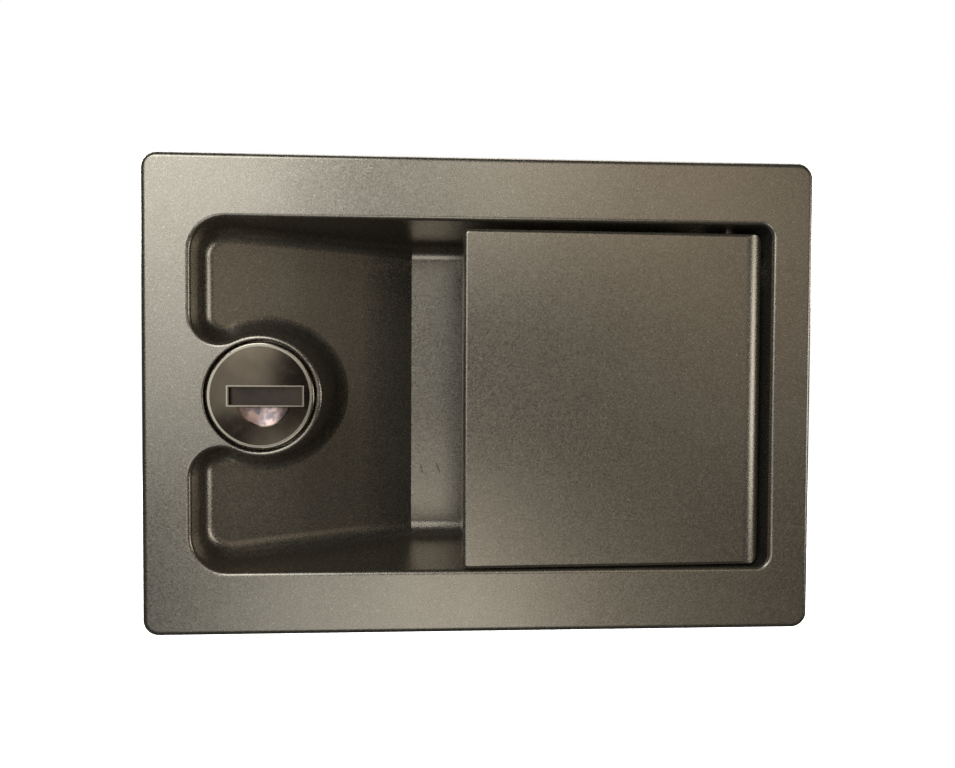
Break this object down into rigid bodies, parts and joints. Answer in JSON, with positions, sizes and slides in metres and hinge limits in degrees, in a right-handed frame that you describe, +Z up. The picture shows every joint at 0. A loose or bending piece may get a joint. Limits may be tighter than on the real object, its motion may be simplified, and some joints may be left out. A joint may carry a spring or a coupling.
{
  "type": "paddle latch",
  "caption": "Flush pull latch for a panel door: hinged paddle in a recessed pan, bevelled slam bolt and a key lock beside it.",
  "frame": {"origin": "centre of the bezel, on the plane where the bezel's rim meets the panel", "axes": "+X to the right as seen from the front, towards the bolt; +Y into the panel; +Z up"},
  "size_m": [0.1272, 0.0423, 0.085],
  "materials": {
    "bronze_paint": "satin metallic bronze-grey paint",
    "black_rubber": "matte moulded rubber",
    "zinc_steel": "zinc plated",
    "steel": "turned steel",
    "spring_steel": "drawn wire",
    "dark_steel": "dark phosphated steel",
    "nickel": "polished nickel",
    "brass": "machined brass"
  },
  "bodies": {
    "housing": {"housing": "bronze_paint", "gasket": "black_rubber", "mounting_studs": "zinc_steel", "hinge_pin": "dark_steel", "pin_clips": "steel", "paddle_spring": "spring_steel", "stop_bumpers": "black_rubber", "bolt_springs": "spring_steel", "lock_barrel": "nickel", "lock_nut": "zinc_steel", "rear_cover": "zinc_steel", "cover_screws": "steel"},
    "paddle": {"paddle": "bronze_paint"},
    "bolt": {"bolt_carrier": "zinc_steel", "latch_bolt": "dark_steel", "carrier_rivets": "steel", "clutch_studs": "steel"},
    "clutch": {"clutch_plate": "zinc_steel"},
    "plug": {"lock_plug": "brass", "plug_cap": "nickel", "wafers": "brass", "wafer_springs": "spring_steel", "lock_cam": "zinc_steel", "cam_screw": "steel", "shutter_pin": "steel", "shutter_spring": "spring_steel"},
    "shutter": {"dust_shutter": "dark_steel"}
  },
  "joints": [
    {"name": "paddle_hinge", "type": "hinge", "parent": "housing", "child": "paddle", "pos_m": [0.046, 0.002, 0], "axis": [0, 0, 1], "range_deg": [0, 30], "stiffness_Nm_per_rad": 0.25, "springref_deg": -22.92, "deforming": ["paddle_spring"]},
    {"name": "bolt_slide", "type": "slide", "parent": "housing", "child": "bolt", "axis": [-1, 0, 0], "range_m": [0, 0.0105], "stiffness_N_per_m": 500, "springref_m": -0.004, "deforming": ["bolt_springs"]},
    {"name": "lock_turn", "type": "hinge", "parent": "housing", "child": "plug", "pos_m": [-0.03945, 0, 0], "axis": [0, 1, 0], "range_deg": [0, 90]},
    {"name": "clutch_slide", "type": "slide", "parent": "bolt", "child": "clutch", "axis": [0, 0, -1], "range_m": [0, 0.0082]},
    {"name": "shutter_flap", "type": "hinge", "parent": "plug", "child": "shutter", "pos_m": [-0.03845, -0.0023, 0.0022], "axis": [1, 0, 0], "range_deg": [0, 85], "stiffness_Nm_per_rad": 0.0004, "springref_deg": -28.65, "deforming": ["shutter_spring"]}
  ],
  "couplings": [
    {"joint": "bolt_slide", "follows": "paddle_hinge", "m_per_rad": 0.02},
    {"joint": "clutch_slide", "follows": "lock_turn", "m_per_rad": 0.0052203}
  ]
}
